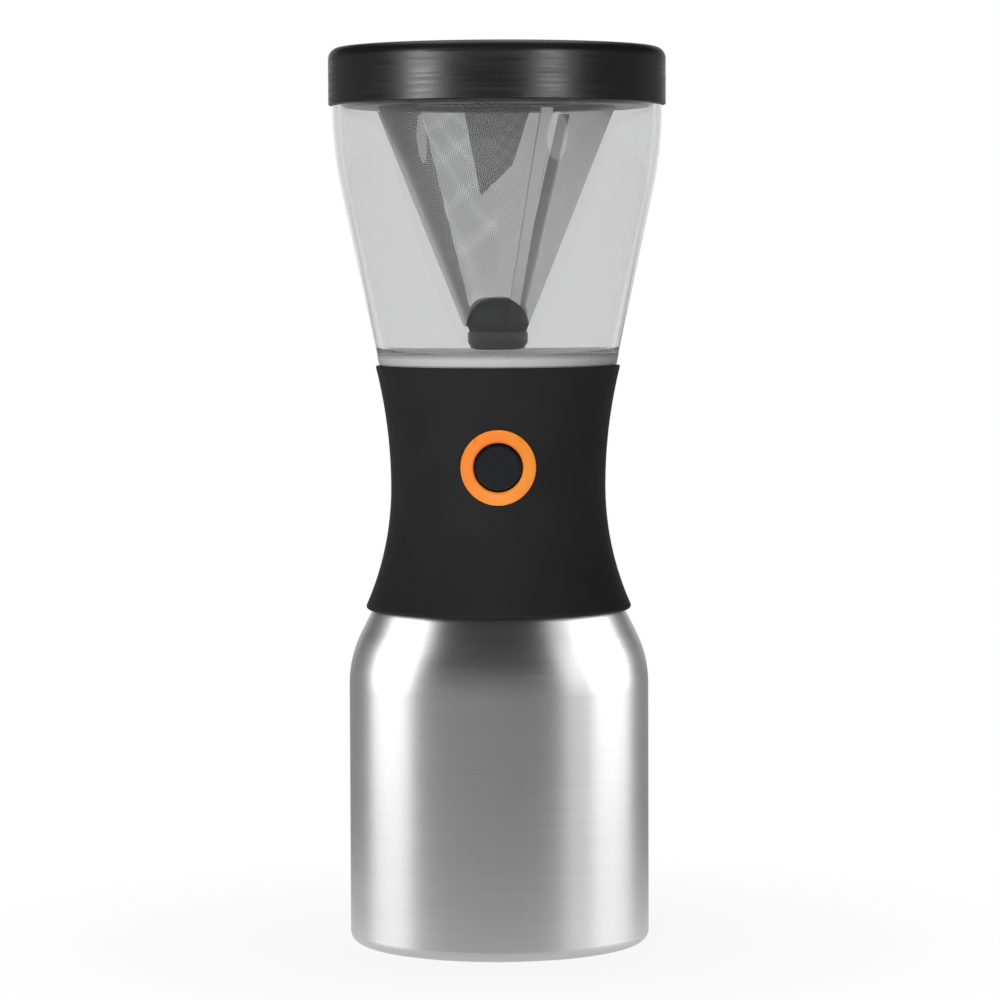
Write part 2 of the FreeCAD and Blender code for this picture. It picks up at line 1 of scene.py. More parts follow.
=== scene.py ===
# %% [markdown]
# A cold brew coffee maker stands on its own steel carafe. A clear flared vessel holds
# the water and a hanging mesh filter, a waisted black neck holds the drain valve, and
# one round button in an orange ring opens it.
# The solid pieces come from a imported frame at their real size. This script gives them
# their finishes and models what the solids leave out: the woven wire and its rim, the
# screw thread, the coil springs and the rounded edge of the ring.
# All sizes are in metres, with +Z up and the button facing -Y.

import math

import bmesh
import bpy
from mathutils import Matrix, Vector


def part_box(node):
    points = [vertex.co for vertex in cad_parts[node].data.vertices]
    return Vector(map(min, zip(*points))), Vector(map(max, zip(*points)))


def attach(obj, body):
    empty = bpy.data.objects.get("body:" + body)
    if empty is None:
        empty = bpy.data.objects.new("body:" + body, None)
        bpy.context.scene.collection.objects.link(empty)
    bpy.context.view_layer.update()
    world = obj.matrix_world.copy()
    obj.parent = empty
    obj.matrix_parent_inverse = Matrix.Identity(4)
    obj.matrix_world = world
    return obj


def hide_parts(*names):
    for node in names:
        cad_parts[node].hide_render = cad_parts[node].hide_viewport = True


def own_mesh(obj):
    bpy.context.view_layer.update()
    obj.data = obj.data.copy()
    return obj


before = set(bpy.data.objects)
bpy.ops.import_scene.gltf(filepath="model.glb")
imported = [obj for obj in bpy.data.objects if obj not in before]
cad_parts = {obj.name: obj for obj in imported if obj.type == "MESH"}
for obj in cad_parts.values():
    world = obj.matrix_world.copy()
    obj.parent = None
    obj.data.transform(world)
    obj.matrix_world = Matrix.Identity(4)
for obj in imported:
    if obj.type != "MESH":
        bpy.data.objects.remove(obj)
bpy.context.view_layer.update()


# %% [markdown]
# Every piece that is added here has to meet a solid of the frame, so its place is read
# from the solid's box. For a round piece on the maker's axis, half of the box's width
# is its radius.

# %% Read the places of the main pieces
MM = 0.001


def bottom_of(node):
    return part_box(node)[0][2]


def top_of(node):
    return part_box(node)[1][2]


def radius_of(node):
    low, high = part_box(node)
    return (high[0] - low[0]) / 2


rim_z = top_of("carafe_liner")
foot_z = top_of("vessel_gasket")
button_z = (bottom_of("button_cap") + top_of("button_cap")) / 2
print("rim", round(rim_z, 4), "foot", round(foot_z, 4), "button axis", round(button_z, 4))

# %% [markdown]
# A finish in Blender is a small tree of nodes in front of one shader. Numbers that are
# the same all over the surface sit on the shader itself, and a texture is linked only
# where the real surface varies: brush lines, moulded grain, soft wear.
# The helpers below keep each finish short to write.

# %% Helpers for finishes
def start_finish(name, color, roughness, metallic=0.0):
    material = bpy.data.materials.new(name)
    material.use_nodes = True
    shader = material.node_tree.nodes["Principled BSDF"]
    shader.inputs["Base Color"].default_value = (*color, 1.0)
    shader.inputs["Roughness"].default_value = roughness
    shader.inputs["Metallic"].default_value = metallic
    material.diffuse_color = (*color, 1.0)
    return material, shader


def add_noise(material, scale, stretch=(1, 1, 1), detail=3.0):
    """Noise on the piece's own coordinates, in features per metre, stretched per axis."""
    tree = material.node_tree
    place = tree.nodes.new("ShaderNodeTexCoord")
    mapping = tree.nodes.new("ShaderNodeMapping")
    mapping.inputs["Scale"].default_value = stretch
    noise = tree.nodes.new("ShaderNodeTexNoise")
    noise.inputs["Scale"].default_value = scale
    noise.inputs["Detail"].default_value = detail
    tree.links.new(place.outputs["Object"], mapping.inputs["Vector"])
    tree.links.new(mapping.outputs["Vector"], noise.inputs["Vector"])
    return noise.outputs["Fac"]


def map_range(tree, value, from_low, from_high, to_low=0.0, to_high=1.0):
    """Maps one range of a value on to another, and holds it at both ends."""
    node = tree.nodes.new("ShaderNodeMapRange")
    node.inputs["From Min"].default_value = from_low
    node.inputs["From Max"].default_value = from_high
    node.inputs["To Min"].default_value = to_low
    node.inputs["To Max"].default_value = to_high
    tree.links.new(value, node.inputs["Value"])
    return node.outputs["Result"]


def spread(material, factor, low, high):
    """Turns a texture's middle range into numbers from low to high."""
    return map_range(material.node_tree, factor, 0.3, 0.7, low, high)


def tint(material, shader, factor, dark, light):
    """Lets a texture move the colour between two near shades."""
    ramp = material.node_tree.nodes.new("ShaderNodeValToRGB")
    ramp.color_ramp.elements[0].position = 0.35
    ramp.color_ramp.elements[0].color = (*dark, 1.0)
    ramp.color_ramp.elements[1].position = 0.65
    ramp.color_ramp.elements[1].color = (*light, 1.0)
    material.node_tree.links.new(factor, ramp.inputs["Fac"])
    material.node_tree.links.new(ramp.outputs["Color"], shader.inputs["Base Color"])


def roughen(material, shader, factor, low, high):
    material.node_tree.links.new(spread(material, factor, low, high), shader.inputs["Roughness"])


def emboss(material, shader, factor, depth, strength=1.0):
    """Raises the surface by a texture, to a depth in metres."""
    bump = material.node_tree.nodes.new("ShaderNodeBump")
    bump.inputs["Distance"].default_value = depth
    bump.inputs["Strength"].default_value = strength
    material.node_tree.links.new(factor, bump.inputs["Height"])
    material.node_tree.links.new(bump.outputs["Normal"], shader.inputs["Normal"])


# %% [markdown]
# A few finishes are two shaders in one: clear and cloudy plastic, or a floor that only
# some rays see as white. Each shader is built on its own, and a factor picks between
# them. The factor comes from the place on the piece or from the kind of ray.

# %% Helpers that combine values and shaders
def combine(tree, operation, first, second):
    """A maths node on two values."""
    node = tree.nodes.new("ShaderNodeMath")
    node.operation = operation
    tree.links.new(first, node.inputs[0])
    tree.links.new(second, node.inputs[1])
    return node.outputs["Value"]


def mix_shaders(tree, factor, first, second):
    """The first shader where the factor is 0, and the second where it is 1."""
    node = tree.nodes.new("ShaderNodeMixShader")
    tree.links.new(factor, node.inputs["Fac"])
    tree.links.new(first, node.inputs[1])
    tree.links.new(second, node.inputs[2])
    return node.outputs["Shader"]


# %% [markdown]
# The carafe is stainless steel, turned on a lathe against a fine abrasive. The tiny
# lines run round it, so a lamp's reflection is smeared up and down into tall bands.
# The shader's tangent runs round the Z axis, and a quarter turn of the anisotropy
# points the smear along the height. Noise squeezed along Z gives the lines themselves.

# %% Brushed steel
def brushed_steel():
    material, shader = start_finish("brushed_steel", (0.64, 0.64, 0.645), 0.38, 1.0)
    shader.inputs["Anisotropic"].default_value = 0.6
    shader.inputs["Anisotropic Rotation"].default_value = 0.25
    tangent = material.node_tree.nodes.new("ShaderNodeTangent")
    tangent.direction_type = "RADIAL"
    tangent.axis = "Z"
    material.node_tree.links.new(tangent.outputs["Tangent"], shader.inputs["Tangent"])
    lines = add_noise(material, 30, (1, 1, 90), 4.0)
    roughen(material, shader, lines, 0.35, 0.41)
    tint(material, shader, lines, (0.62, 0.62, 0.625), (0.66, 0.66, 0.665))
    return material


def plain_steel(name, roughness, color, metallic=1.0):
    material, shader = start_finish(name, color, roughness, metallic)
    cloud = add_noise(material, 900)
    roughen(material, shader, cloud, roughness - 0.06, roughness + 0.06)
    return material


steel = brushed_steel()
spring_steel = plain_steel("spring_steel", 0.25, (0.62, 0.62, 0.63))
wire_steel = plain_steel("wire_steel", 0.4, (0.62, 0.62, 0.62), 0.5)
strip_steel = plain_steel("strip_steel", 0.5, (0.66, 0.66, 0.66), 0.3)
# The near-black wire is painted shade, for the lap and the dark tongue of the filter.
painted_shade_steel = plain_steel("painted_shade_steel", 0.4, (0.10, 0.10, 0.10), 0.5)
print("steel finishes", steel.name, spring_steel.name)
print("filter finishes", wire_steel.name, strip_steel.name, painted_shade_steel.name)

# %% [markdown]
# The filter's black tip is moulded over the end of the steel cone, and from the front
# and the back it climbs the wires as a round arch. So the wires and strips turn black
# inside that arch: a mapping makes the arch a circle of radius 1 about the origin, and
# the length of the mapped point says on which side a point lies. The arch is a little
# larger than the domed plug behind it, so that the plug's shoulders are covered.

# %% Black arch over the filter's steel
def dip_in_black(material, half_width, foot, rise):
    nodes, links = material.node_tree.nodes, material.node_tree.links
    shader = nodes["Principled BSDF"]
    place = nodes.new("ShaderNodeTexCoord")
    mapping = nodes.new("ShaderNodeMapping")
    mapping.inputs["Scale"].default_value = (1 / half_width, 0, 1 / rise)
    mapping.inputs["Location"].default_value = (0, 0, -foot / rise)
    reach = nodes.new("ShaderNodeVectorMath")
    reach.operation = "LENGTH"
    inside = nodes.new("ShaderNodeMath")
    inside.operation = "LESS_THAN"
    inside.inputs[1].default_value = 1.0
    color = nodes.new("ShaderNodeMixRGB")
    color.inputs["Color1"].default_value = shader.inputs["Base Color"].default_value
    color.inputs["Color2"].default_value = (0.008, 0.008, 0.008, 1.0)
    links.new(place.outputs["Object"], mapping.inputs["Vector"])
    links.new(mapping.outputs["Vector"], reach.inputs[0])
    links.new(reach.outputs["Value"], inside.inputs[0])
    links.new(inside.outputs["Value"], color.inputs["Fac"])
    links.new(color.outputs["Color"], shader.inputs["Base Color"])


wider, taller = 1.08, 1.04
arch_half_width = wider * radius_of("filter_plug")
arch_foot = top_of("filter_tip")
arch_rise = taller * (top_of("filter_plug") - arch_foot)
for finish in (wire_steel, strip_steel, painted_shade_steel):
    dip_in_black(finish, arch_half_width, arch_foot, arch_rise)
print("arch", round(2 * arch_half_width, 4), "wide and", round(arch_rise, 4), "high")

# %% [markdown]
# The black pieces differ only in how they scatter light. The lid is moulded plastic
# with a satin sheen and faint turning marks, the sleeve is a soft-touch rubber that
# hardly shines, and the button is smooth. Each gets its own grain.

# %% Black plastics and rubber
def moulded_plastic():
    material, shader = start_finish("satin_black_plastic", (0.010, 0.010, 0.0105), 0.36)
    grain = add_noise(material, 1600, (1, 1, 1), 2.0)
    marks = add_noise(material, 40, (1, 1, 22), 3.0)
    tint(material, shader, marks, (0.008, 0.008, 0.0085), (0.014, 0.014, 0.0145))
    roughen(material, shader, marks, 0.30, 0.42)
    emboss(material, shader, grain, 0.00003, 0.5)
    return material


def soft_touch():
    material, shader = start_finish("soft_touch_black", (0.028, 0.028, 0.0285), 0.62)
    shader.inputs["Specular IOR Level"].default_value = 0.3
    cloud = add_noise(material, 35, (1, 1, 1), 2.0)
    grain = add_noise(material, 2600)
    tint(material, shader, cloud, (0.026, 0.026, 0.0265), (0.030, 0.030, 0.0305))
    emboss(material, shader, grain, 0.00002, 0.4)
    return material


def button_black():
    material, shader = start_finish("button_black", (0.010, 0.011, 0.014), 0.28)
    cloud = add_noise(material, 300)
    roughen(material, shader, cloud, 0.24, 0.32)
    return material


def inner_plastic():
    material, shader = start_finish("inner_black_plastic", (0.03, 0.03, 0.032), 0.45)
    grain = add_noise(material, 900)
    roughen(material, shader, grain, 0.40, 0.52)
    return material


satin_black = moulded_plastic()
soft_black = soft_touch()
button_finish = button_black()
inner_black = inner_plastic()
print("black finishes", satin_black.name, soft_black.name, button_finish.name, inner_black.name)

# %% [markdown]
# The ring is the one bright colour on the object: a glossy orange plastic whose tone
# drifts a little. A clear coat gives its edges a thin bright line.

# %% Orange plastic
def orange_plastic():
    material, shader = start_finish("orange_plastic", (1.0, 0.29, 0.03), 0.3)
    shader.inputs["Coat Weight"].default_value = 0.5
    shader.inputs["Coat Roughness"].default_value = 0.08
    cloud = add_noise(material, 45, (1, 1, 1), 1.0)
    tint(material, shader, cloud, (1.0, 0.25, 0.02), (1.0, 0.33, 0.04))
    return material


orange = orange_plastic()
print("ring finish", orange.name)

# %% [markdown]
# The vessel is a thick clear plastic with a slight grey. Light is bent at each face, so
# the wall shows as a paler band along both sides. That needs a real wall with an inside
# and an outside, which the frame's solid has, and a shader that lets light through.
# Near the foot the height blends the clear shader into a pale milky one, a painted light
# band that stands in for the brightness at the foot. Shadow rays pass it, so that the
# lamps reach the filter inside. Seals are silicone.

# %% Clear plastic and silicone
pale_band_low = foot_z + 2.2 * MM
clear_above = foot_z + 4.8 * MM


def clear_plastic():
    material, shader = start_finish("clear_grey_plastic", (0.79, 0.79, 0.794), 0.02)
    shader.inputs["Transmission Weight"].default_value = 1.0
    shader.inputs["Specular IOR Level"].default_value = 0.18
    shader.inputs["IOR"].default_value = 1.46
    flow = add_noise(material, 30, (1, 1, 1), 1.0)
    roughen(material, shader, flow, 0.0, 0.03)
    tree = material.node_tree
    # Painted light: a pale milky shader for the band just above the foot.
    painted_pale = tree.nodes.new("ShaderNodeBsdfPrincipled")
    painted_pale.inputs["Base Color"].default_value = (0.88, 0.88, 0.885, 1.0)
    painted_pale.inputs["Roughness"].default_value = 0.5
    place = tree.nodes.new("ShaderNodeTexCoord")
    apart = tree.nodes.new("ShaderNodeSeparateXYZ")
    tree.links.new(place.outputs["Object"], apart.inputs["Vector"])
    pale_share = map_range(tree, apart.outputs["Z"], pale_band_low, clear_above, 0.9, 0.0)
    wall = mix_shaders(tree, pale_share, shader.outputs["BSDF"], painted_pale.outputs["BSDF"])
    rays = tree.nodes.new("ShaderNodeLightPath")
    open_wall = tree.nodes.new("ShaderNodeBsdfTransparent")
    open_wall.inputs["Color"].default_value = (0.8, 0.8, 0.8, 1.0)
    wall = mix_shaders(tree, rays.outputs["Is Shadow Ray"], wall, open_wall.outputs["BSDF"])
    tree.links.new(wall, tree.nodes["Material Output"].inputs["Surface"])
    return material


def silicone():
    material, shader = start_finish("silicone", (0.55, 0.55, 0.54), 0.5)
    cloud = add_noise(material, 400)
    roughen(material, shader, cloud, 0.42, 0.56)
    tint(material, shader, cloud, (0.50, 0.50, 0.49), (0.60, 0.60, 0.59))
    return material


clear = clear_plastic()
seal_finish = silicone()
print("clear and soft finishes", clear.name, seal_finish.name)

# %% [markdown]
# A node of the frame keeps its shape and place. Only the material in its slot changes.

# %% Give each solid its finish
FINISHES = {
    steel: ("carafe_shell", "carafe_liner", "carafe_base"),
    soft_black: ("neck_sleeve",),
    satin_black: ("lid_cap", "filter_ring", "filter_tip", "filter_plug"),
    inner_black: ("neck_shell", "valve_body", "stem_guide", "push_rod"),
    button_finish: ("button_cap",),
    orange: ("button_ring",),
    clear: ("vessel",),
    strip_steel: ("filter_seams",),
    wire_steel: ("filter_mesh",),
    spring_steel: (
        "deck_screws", "stopper_stem", "stem_pin", "stem_clip", "valve_spring", "button_spring",
    ),
    seal_finish: (
        "mouth_seal", "boss_seal", "vessel_gasket", "stopper_plug", "rod_seal", "lid_seal",
    ),
}

for finish, nodes in FINISHES.items():
    for node in nodes:
        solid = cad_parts[node]
        solid.data.materials.clear()
        solid.data.materials.append(finish)
print("finished nodes", sum(len(nodes) for nodes in FINISHES.values()))

# %% [markdown]
# New pieces start as a bmesh, which is Blender's editable mesh in code. This helper
# turns a finished bmesh into a named object with one material and smooth faces.

# %% Helper that makes a piece
def make_piece(name, shape, material, body, smooth=True):
    bmesh.ops.recalc_face_normals(shape, faces=shape.faces)
    mesh = bpy.data.meshes.new(name)
    shape.to_mesh(mesh)
    shape.free()
    mesh.materials.append(material)
    for face in mesh.polygons:
        face.use_smooth = smooth
    piece = bpy.data.objects.new(name, mesh)
    bpy.context.collection.objects.link(piece)
    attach(piece, body)
    print(name, len(mesh.polygons), "faces")
    return piece


# %% [markdown]
# The filter is woven wire, rolled from a flat sheet into a cone. It is made the same
# way here: two families of straight wires are laid over a flat sheet, the sheet is cut
# to a fan, and every point is then rolled on to the cone. Wires laid straight on the
# flat sheet curve round the cone just as the real ones do, and the two families stay
# square to each other. One wire is a three-sided prism, because thousands of them show
# only as a fine grid.

# %% Sizes of the woven cone
mesh_pitch = 0.79 * MM
wire_radius = 0.085 * MM
wire_step = 4.0 * MM
mesh_tip_radius = 10.4 * MM
mesh_lip = 3.0 * MM
trim = 0.3 * MM
rim_thick = 0.5 * MM
weave_top = top_of("filter_mesh") - trim
weave_bottom = bottom_of("filter_mesh") + trim
cone_top_radius = radius_of("filter_mesh") - mesh_lip
cone_top_z = top_of("filter_mesh") - rim_thick
mesh_slope = (cone_top_radius - mesh_tip_radius) / (cone_top_z - top_of("filter_tip"))
apex_z = cone_top_z - cone_top_radius / mesh_slope
slant = math.hypot(1, mesh_slope)
roll = mesh_slope / slant
fan_half = math.pi * roll
fan_far = (weave_top - apex_z) * slant + mesh_pitch
fan_near = (weave_bottom - apex_z) * slant * math.cos(fan_half) - mesh_pitch
print("fan of", round(math.degrees(2 * fan_half)), "degrees,", round(fan_far, 4), "long")


# %% Lay the wires on the flat sheet
def only(kind, parts):
    """The parts of one kind, such as points or edges, out of a mixed list."""
    return [part for part in parts if isinstance(part, kind)]


def lay_wires(shape, along, across, depth, thick):
    """Adds wires along the unit vector along, spaced across it, at a height of depth."""
    count = 2 * int(fan_far / mesh_pitch) + 1
    steps = int(2 * fan_far / wire_step)
    made = bmesh.ops.create_circle(shape, segments=3, radius=thick)
    turn = along.to_track_quat("Z", "Y").to_matrix()
    bmesh.ops.rotate(shape, verts=made["verts"], cent=(0, 0, 0), matrix=turn)
    start = -along * fan_far - across * (count // 2) * mesh_pitch + Vector((0, 0, depth))
    bmesh.ops.translate(shape, verts=made["verts"], vec=start)
    edges = list(dict.fromkeys(edge for vert in made["verts"] for edge in vert.link_edges))
    wire = list(made["verts"]) + edges
    for _ in range(steps):
        grown = bmesh.ops.extrude_edge_only(shape, edges=edges)["geom"]
        ring = only(bmesh.types.BMVert, grown)
        edges = only(bmesh.types.BMEdge, grown)
        edges = [edge for edge in edges if edge.verts[0] in ring and edge.verts[1] in ring]
        bmesh.ops.translate(shape, verts=ring, vec=along * (2 * fan_far / steps))
        wire += grown
    verts = only(bmesh.types.BMVert, wire)
    faces = list(dict.fromkeys(face for vert in verts for face in vert.link_faces))
    for i in range(1, count):
        copy = bmesh.ops.duplicate(shape, geom=faces)["geom"]
        verts = only(bmesh.types.BMVert, copy)
        bmesh.ops.translate(shape, verts=verts, vec=across * mesh_pitch * i)


def one_sheet(along, across, depth, thick):
    sheet = bmesh.new()
    lay_wires(sheet, along, across, depth, thick)
    return sheet


# %% [markdown]
# The fan is cut from the sheet with planes through the point of the cone. After the
# points are rolled up, two level planes trim the cone's top and bottom.

# %% Cut the fan and roll it up
def cut(shape, point, normal):
    """Keeps the side of the plane that the normal points away from."""
    geom = shape.verts[:] + shape.edges[:] + shape.faces[:]
    bmesh.ops.bisect_plane(shape, geom=geom, plane_co=point, plane_no=normal, clear_outer=True)


def roll_up(shape):
    for vert in shape.verts:
        reach = math.hypot(vert.co.x, vert.co.y)
        angle = math.atan2(vert.co.y, vert.co.x) / roll
        radius = reach * roll + vert.co.z / slant
        height = apex_z + reach / slant - vert.co.z * roll
        vert.co = (radius * math.sin(angle), radius * math.cos(angle), height)


def woven_cone(turn_degrees, edges, thick=wire_radius, lift=0.0):
    """Both families of wires inside the given edges, as one bmesh.

    An edge is a point on the flat sheet, an angle, and the side of the edge to drop. The
    lift moves the sheet out from the cone, or in when it is negative.
    """
    turn = Matrix.Rotation(math.radians(turn_degrees), 3, "Z")
    first, second = turn @ Vector((1, 0, 0)), turn @ Vector((0, 1, 0))
    whole = bmesh.new()
    layers = ((first, second, lift - thick), (second, first, lift - 3 * thick))
    for along, across, depth in layers:
        sheet = one_sheet(along, across, depth, thick)
        for point, angle, side in edges:
            cut(sheet, (*point, 0), (-side * math.sin(angle), side * math.cos(angle), 0))
        roll_up(sheet)
        cut(sheet, (0, 0, weave_top), (0, 0, 1))
        cut(sheet, (0, 0, weave_bottom), (0, 0, -1))
        ends = [edge for edge in sheet.edges if edge.is_boundary]
        bmesh.ops.holes_fill(sheet, edges=ends, sides=4)
        mesh = bpy.data.meshes.new("sheet")
        sheet.to_mesh(mesh)
        sheet.free()
        whole.from_mesh(mesh)
        bpy.data.meshes.remove(mesh)
    return whole


whole_fan = (
    ((fan_near, 0), math.radians(90), 1),
    ((0, 0), -fan_half, -1),
    ((0, 0), fan_half, 1),
)
weave_shape = woven_cone(12.0, whole_fan)
weave = make_piece("filter_weave", weave_shape, wire_steel, "filter", smooth=False)
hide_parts("filter_mesh")

# %% [markdown]
# Where the sheet's ends meet, one laps under the other, and the doubled mesh looks
# darker. The lap is a second piece of weave, just inside the first, with thicker wires.
# Its wires are near-black, painted shade that makes the lap read dark. It runs from the
# left strip to a straight cut edge that isn't aimed at the cone's point.

# %% The lap of the mesh
lap_edges = (
    ((27.3 * MM, -31.0 * MM), math.radians(-54.0), -1),
    ((0, 0), math.radians(-30.5), 1),
)
lap_wire = 0.17 * MM
under_weave = -4.5 * wire_radius
lap_shape = woven_cone(40.0, lap_edges, lap_wire, under_weave)
lap = make_piece("filter_lap", lap_shape, painted_shade_steel, "filter", smooth=False)

# %% [markdown]
# A piece of weave in the same near-black finish lies just inside at the back. It is
# painted shade, not a part of the filter: through the front of the mesh it shows as a
# dark tongue below the ring. It is cut with three straight edges.

# %% The dark tongue of painted shade
shade_tongue_edges = (
    ((69.7 * MM, -4.2 * MM), math.radians(-10.7), -1),
    ((94.3 * MM, 6.0 * MM), math.radians(17.7), 1),
    ((94.3 * MM, 6.0 * MM), math.radians(45.0), 1),
)
shade_tongue_wire = 0.23 * MM
shade_tongue_shape = woven_cone(65.0, shade_tongue_edges, shade_tongue_wire, under_weave)
shade_tongue = make_piece("filter_shade_tongue", shade_tongue_shape, painted_shade_steel, "filter", smooth=False)

# %% [markdown]
# The weave is clamped between the plastic ring and a thin steel rim. The rim is one
# small profile, spun round the axis.

# %% Helper that spins a profile, and the rim
def spun(profile, steps=128):
    """Closed ring with the given (radius, height) section."""
    shape = bmesh.new()
    verts = [shape.verts.new((r, 0, z)) for r, z in profile]
    edges = [shape.edges.new(pair) for pair in zip(verts, verts[1:] + verts[:1])]
    bmesh.ops.spin(
        shape, geom=verts + edges, cent=(0, 0, 0), axis=(0, 0, 1), angle=math.tau, steps=steps,
        use_merge=True,
    )
    return shape


def filter_rim():
    low, high = top_of("filter_mesh") - rim_thick, top_of("filter_mesh")
    inner = cone_top_radius - rim_thick
    outer = radius_of("filter_mesh")
    return spun([(inner, low), (outer, low), (outer, high), (inner, high)])


rim = make_piece("filter_rim", filter_rim(), strip_steel, "filter")

# %% [markdown]
# The ring's solid has crisp edges. A moulded ring has edges rounded by about a third of
# a millimetre, and they catch the light as two thin circles. A copy of the solid is
# merged, because its triangles are loose, and its sharp edges are bevelled.

# %% Round the edges of the orange ring
def copy_of(node):
    shape = bmesh.new()
    shape.from_mesh(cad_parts[node].data)
    bmesh.ops.remove_doubles(shape, verts=shape.verts, dist=0.01 * MM)
    return shape


def rounded_copy(node, width, sharp_degrees=40.0, segments=3):
    shape = copy_of(node)
    flat = math.radians(1.0)
    bmesh.ops.dissolve_limit(shape, angle_limit=flat, verts=shape.verts, edges=shape.edges)
    limit = math.radians(sharp_degrees)
    sharp = [edge for edge in shape.edges if edge.calc_face_angle(0.0) > limit]
    bmesh.ops.bevel(
        shape, geom=sharp, offset=width, affect="EDGES", segments=segments, profile=0.5,
        material=-1,
    )
    return shape


ring = make_piece("button_ring_rounded", rounded_copy("button_ring", 0.3 * MM), orange, "brewer")
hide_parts("button_ring")

# %% [markdown]
# The neck screws on the carafe with a coarse thread of four starts, so that half a turn
# frees it. One ridge is a small section, spun by part of a turn while it climbs, and
# the others are copies turned about the axis.

# %% Helper for ridges and coils
def climbing(section, angle, rise, steps):
    """Sweeps a closed section of (radius, height) points round the axis as it climbs."""
    shape = bmesh.new()
    start = shape.faces.new([shape.verts.new((r, 0, z)) for r, z in section])
    bmesh.ops.spin(
        shape, geom=[start], cent=(0, 0, 0), axis=(0, 0, 1), angle=angle, steps=steps,
        dvec=(0, 0, rise / steps),
    )
    bmesh.ops.remove_doubles(shape, verts=shape.verts, dist=1e-7)
    return shape


def thread(root, crest, low, high, starts=4, lead=23.9 * MM):
    """Ridges from the root radius to the crest, between two heights."""
    half = 1.0 * MM
    flat = 0.35 * MM
    middle = low + half
    section = [(root, low), (crest, middle - flat), (crest, middle + flat), (root, middle + half)]
    rise = high - low - 2 * half
    ridge = climbing(section, math.tau * rise / lead, rise, steps=48)
    whole = ridge.copy()
    for i in range(1, starts):
        mesh = bpy.data.meshes.new("ridge")
        ridge.to_mesh(mesh)
        mesh.transform(Matrix.Rotation(math.tau * i / starts, 4, "Z"))
        whole.from_mesh(mesh)
        bpy.data.meshes.remove(mesh)
    ridge.free()
    return whole


# %% Thread of the mouth
mouth_radius = 34.0 * MM
skirt_radius = 36.0 * MM
thread_low = rim_z - 11.0 * MM
thread_high = rim_z - 2.5 * MM
thread_root = mouth_radius - 0.1 * MM
thread_crest = skirt_radius - 0.5 * MM
mouth_ridges = thread(thread_root, thread_crest, thread_low, thread_high)
mouth_thread = make_piece("mouth_thread", mouth_ridges, steel, "carafe")

# %% [markdown]
# The two springs are real coils of wire. A round section climbs round the axis, and the
# button's spring is then laid over to point at the button. Each rides on the piece that
# pushes it.

# %% Coil springs
def coil(radius, wire, length, turns):
    sides = 8
    steps_per_turn = 20
    section = []
    for i in range(sides):
        angle = math.tau * i / sides
        section.append((radius + wire * math.cos(angle), wire + wire * math.sin(angle)))
    return climbing(section, math.tau * turns, length - 2 * wire, steps_per_turn * turns)


spring_low = bottom_of("valve_spring")
spring_high = top_of("valve_spring")
wire = 0.3 * MM
shape = coil(radius_of("valve_spring") - wire, wire, spring_high - spring_low, turns=7)
bmesh.ops.translate(shape, verts=shape.verts, vec=(0, 0, spring_low))
valve_coil = make_piece("valve_coil", shape, spring_steel, "stopper")
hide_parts("valve_spring")
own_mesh(valve_coil)

spring_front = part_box("button_spring")[0][1]
spring_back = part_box("button_spring")[1][1]
wire = 0.4 * MM
shape = coil(radius_of("button_spring") - wire, wire, spring_back - spring_front, turns=5)
laid_over = Matrix.Rotation(math.pi / 2, 3, "X")
bmesh.ops.rotate(shape, verts=shape.verts, cent=(0, 0, 0), matrix=laid_over)
bmesh.ops.translate(shape, verts=shape.verts, vec=(0, spring_back, button_z))
button_coil = make_piece("button_coil", shape, spring_steel, "button")
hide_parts("button_spring")
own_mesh(button_coil)

# %% [markdown]
# The object stands on a pale floor that fades into a white surround. A white background
# comes from what the camera sees, not from more light: near the object the floor is a
# plain pale surface that takes its shadow, and further out the camera and the clear
# pieces see it turn into the same white as the world. Near the foot of the object the
# floor also glows white for glossy rays only, a painted reflection that makes the steel
# wall grow paler downwards.

# %% Floor
def seen_white(tree):
    """1 for rays from the camera or through a clear piece, and 0 for the rest."""
    rays = tree.nodes.new("ShaderNodeLightPath")
    from_camera = rays.outputs["Is Camera Ray"]
    through_clear = rays.outputs["Is Transmission Ray"]
    return combine(tree, "MAXIMUM", from_camera, through_clear)


def floor_finish():
    material, shader = start_finish("pale_floor", (0.7, 0.7, 0.7), 0.9)
    tree = material.node_tree
    glow = tree.nodes.new("ShaderNodeEmission")
    place = tree.nodes.new("ShaderNodeTexCoord")
    distance = tree.nodes.new("ShaderNodeVectorMath")
    distance.operation = "LENGTH"
    tree.links.new(place.outputs["Object"], distance.inputs[0])
    # A near and a far distance from the axis in metres, and the share of white at each.
    fade = map_range(tree, distance.outputs["Value"], 0.06, 0.22, 0.9, 1.0)
    # Painted reflection: near the axis, glossy rays alone see the floor glow white.
    glossy_glow = map_range(tree, distance.outputs["Value"], 0.08, 0.3, 0.6, 0.0)
    rays = tree.nodes.new("ShaderNodeLightPath")
    plain = combine(tree, "MULTIPLY", fade, seen_white(tree))
    shiny = combine(tree, "MULTIPLY", glossy_glow, rays.outputs["Is Glossy Ray"])
    white = combine(tree, "MAXIMUM", plain, shiny)
    surface = mix_shaders(tree, white, shader.outputs["BSDF"], glow.outputs["Emission"])
    tree.links.new(surface, tree.nodes["Material Output"].inputs["Surface"])
    return material


floor_shape = bmesh.new()
bmesh.ops.create_circle(floor_shape, cap_ends=True, segments=96, radius=3.0)
floor_mesh = bpy.data.meshes.new("floor")
floor_shape.to_mesh(floor_mesh)
floor_shape.free()
floor_mesh.materials.append(floor_finish())
floor = bpy.data.objects.new("floor", floor_mesh)
bpy.context.collection.objects.link(floor)
print("floor", round(floor.dimensions.x, 2), "across")

# %% [markdown]
# The world is a plain room, grey near the ground and dark above, which the steel's
# shoulder shows, with a pale backdrop behind. The camera and clear pieces see all of it
# as white, and a glossy piece sees that white where the backdrop hangs, behind the
# object.

